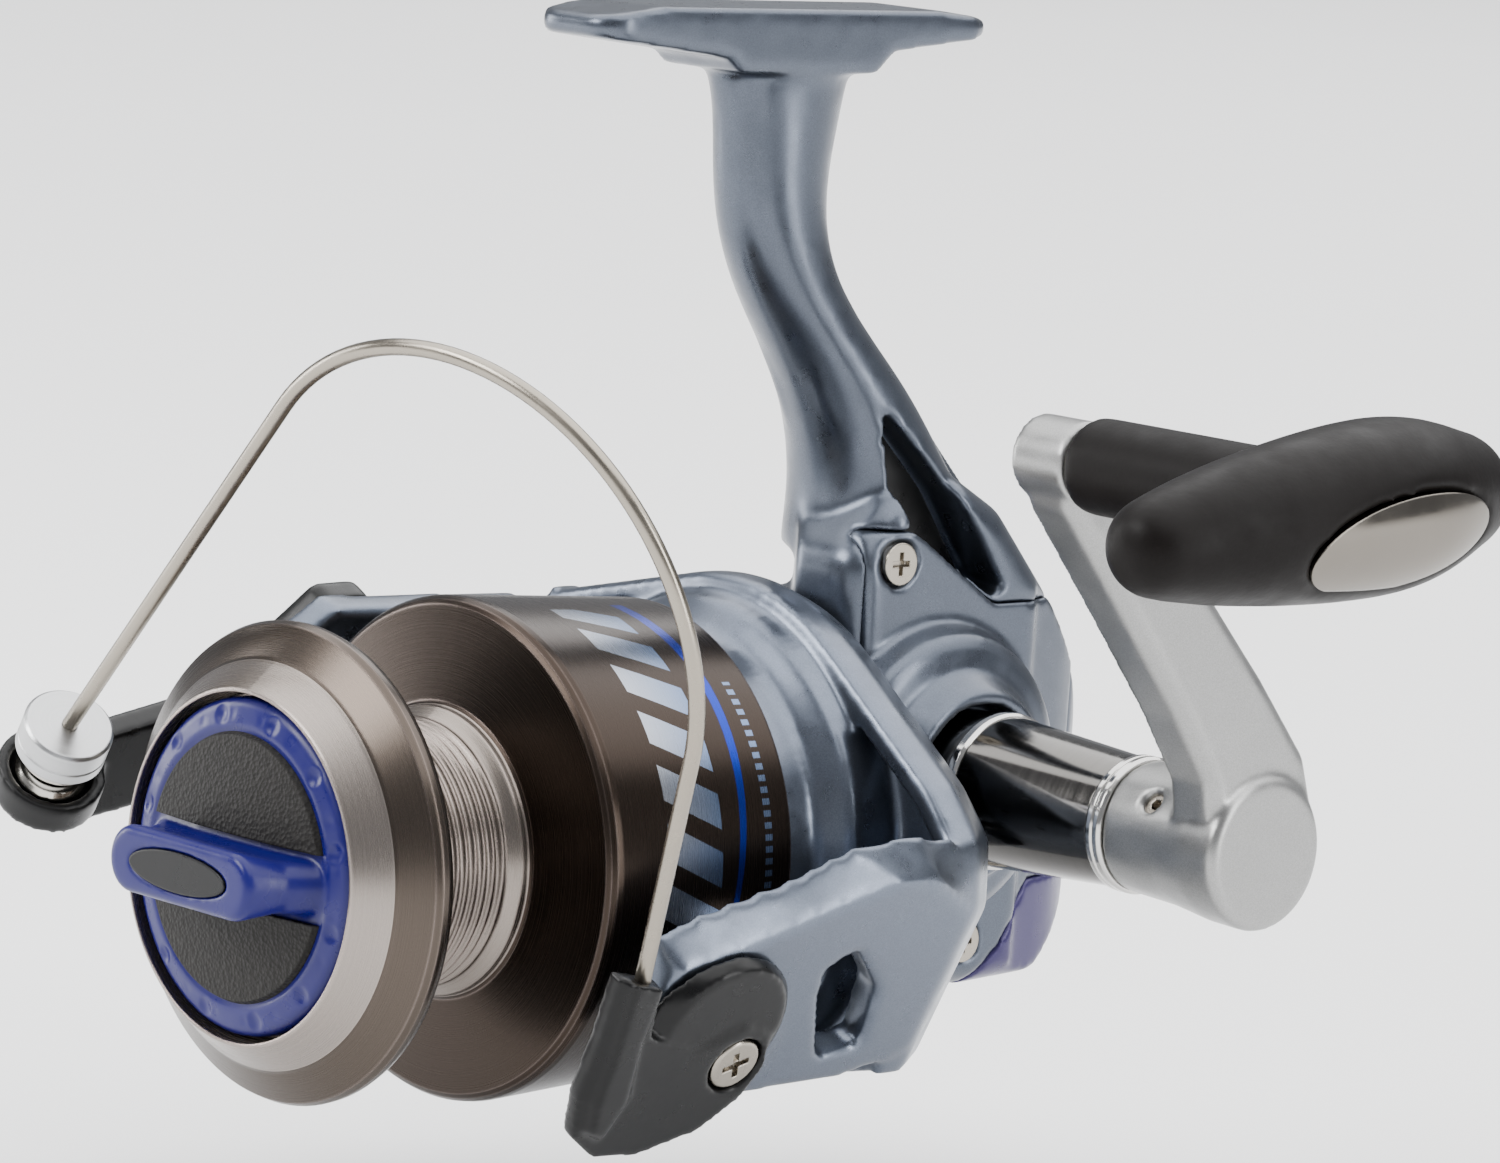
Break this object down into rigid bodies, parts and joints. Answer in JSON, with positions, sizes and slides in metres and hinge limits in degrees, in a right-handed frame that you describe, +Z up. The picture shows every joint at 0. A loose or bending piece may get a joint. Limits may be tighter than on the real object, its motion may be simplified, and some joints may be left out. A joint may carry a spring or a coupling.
{
  "type": "spinning reel",
  "caption": "Spinning fishing reel with a flip-over bail, a line spool with front drag knob, a gear-driven rotor, a cranked T-grip handle and a rod foot.",
  "frame": {"origin": "centre of the flat top face of the rod foot, on the reel's middle plane", "axes": "+Z up, out of the foot face towards the rod; -Y forward, the way the spool points; +X towards the handle side"},
  "size_m": [0.1734, 0.1465, 0.1355],
  "materials": {
    "body_paint": "satin blue-grey metallic paint",
    "rotor_paint": "satin blue-grey metallic paint",
    "rear_cover": "gloss purple-blue moulding",
    "shaft_cap": "satin black moulding",
    "spool_metal": "gloss bronze-brown anodised, turned",
    "knob_blue": "royal blue moulding",
    "knob_panel": "charcoal grained moulding",
    "black_plastic": "black satin moulding",
    "wire_steel": "satin stainless wire",
    "roller_metal": "polished plated brass",
    "turned_aluminium": "turned aluminium",
    "screw_nickel": "nickel-plated",
    "black_chrome": "black chrome plate",
    "bright_ring": "polished chrome",
    "crank_paint": "light silver paint",
    "grip_rubber": "soft-touch near-black rubber",
    "grip_insert": "smoky nickel plate",
    "bearing_steel": "ground steel",
    "gear_zinc": "die-cast zinc alloy",
    "brass": "machined brass",
    "nylon": "moulded nylon",
    "felt": "greased felt"
  },
  "bodies": {
    "frame": {"body_housing": "body_paint", "side_cover": "body_paint", "rear_cover": "rear_cover", "side_cover_screws": "screw_nickel", "rear_cover_screw": "screw_nickel", "drive_bearing_right": "bearing_steel", "drive_bearing_left": "bearing_steel", "pinion_bearing": "bearing_steel", "anti_reverse_clutch": "black_plastic", "clutch_retainer": "bearing_steel", "slider_guide_rods": "bearing_steel", "oscillation_axle": "bearing_steel", "shaft_cap": "shaft_cap"},
    "rotor_group": {"rotor": "rotor_paint", "arm_cover": "black_plastic", "arm_cover_screw": "screw_nickel", "bail_spring": "bearing_steel", "bail_trip_lever": "black_plastic", "pinion_gear": "brass", "clutch_sleeve": "bearing_steel", "rotor_nut": "brass", "balance_weight": "gear_zinc", "bail_screws": "screw_nickel"},
    "bail": {"bail_wire": "wire_steel", "bail_holder": "black_plastic", "bail_lever": "black_plastic", "line_roller_cap": "turned_aluminium", "roller_bush": "nylon", "roller_screw": "screw_nickel"},
    "roller": {"line_roller": "roller_metal"},
    "handle": {"drive_gear": "gear_zinc", "drive_shaft": "bearing_steel", "oscillation_pinion": "gear_zinc", "handle_collar": "black_chrome", "collar_rings": "bright_ring", "crank_arm": "crank_paint", "handle_set_screw": "screw_nickel", "knob_shaft": "bearing_steel"},
    "grip_group": {"grip": "grip_rubber", "grip_insert": "grip_insert", "grip_bush_inner": "nylon", "grip_bush_outer": "nylon"},
    "slow_gear": {"oscillation_gear": "gear_zinc"},
    "carriage": {"slider": "gear_zinc", "slider_screw": "screw_nickel", "main_shaft": "bearing_steel", "drag_washers_steel": "bearing_steel", "click_gear": "nylon"},
    "spool_group": {"spool": "spool_metal", "drag_washers_felt": "felt", "drag_clip": "bearing_steel", "click_pawl": "nylon"},
    "knob_group": {"drag_knob": "knob_blue", "knob_panels": "knob_panel", "wing_inlay": "black_plastic", "drag_nut": "brass"}
  },
  "joints": [
    {"name": "rotor_spin", "type": "hinge", "parent": "frame", "child": "rotor_group", "pos_m": [0, -0.0436, -0.1035], "axis": [0, 1, 0], "continuous": true},
    {"name": "handle_spin", "type": "hinge", "parent": "frame", "child": "handle", "pos_m": [0, 0.0249, -0.0964], "axis": [1, 0, 0], "continuous": true},
    {"name": "oscillation_gear_spin", "type": "hinge", "parent": "frame", "child": "slow_gear", "pos_m": [0, 0.0408, -0.1019], "axis": [1, 0, 0], "continuous": true},
    {"name": "spool_stroke", "type": "slide", "parent": "frame", "child": "carriage", "axis": [0, -1, 0], "range_m": [0, 0.017]},
    {"name": "spool_drag_slip", "type": "hinge", "parent": "carriage", "child": "spool_group", "pos_m": [0, -0.0436, -0.1035], "axis": [0, 1, 0], "continuous": true},
    {"name": "drag_knob_turn", "type": "hinge", "parent": "carriage", "child": "knob_group", "pos_m": [0, -0.0436, -0.1035], "axis": [0, 1, 0], "range_deg": [-540, 540]},
    {"name": "bail_flip", "type": "hinge", "parent": "rotor_group", "child": "bail", "pos_m": [0, -0.0306, -0.1035], "axis": [0.891, 0, -0.454], "range_deg": [0, 95]},
    {"name": "line_roller_spin", "type": "hinge", "parent": "bail", "child": "roller", "pos_m": [-0.04102, -0.0711, -0.09326], "axis": [0.6247, -0.2102, 0.7521], "continuous": true},
    {"name": "grip_spin", "type": "hinge", "parent": "handle", "child": "grip_group", "pos_m": [0.071, -0.0096, -0.0477], "axis": [1, 0, 0], "continuous": true}
  ],
  "couplings": [
    {"joint": "handle_spin", "follows": "rotor_spin", "ratio": 0.20408},
    {"joint": "oscillation_gear_spin", "follows": "rotor_spin", "ratio": -0.094192}
  ]
}
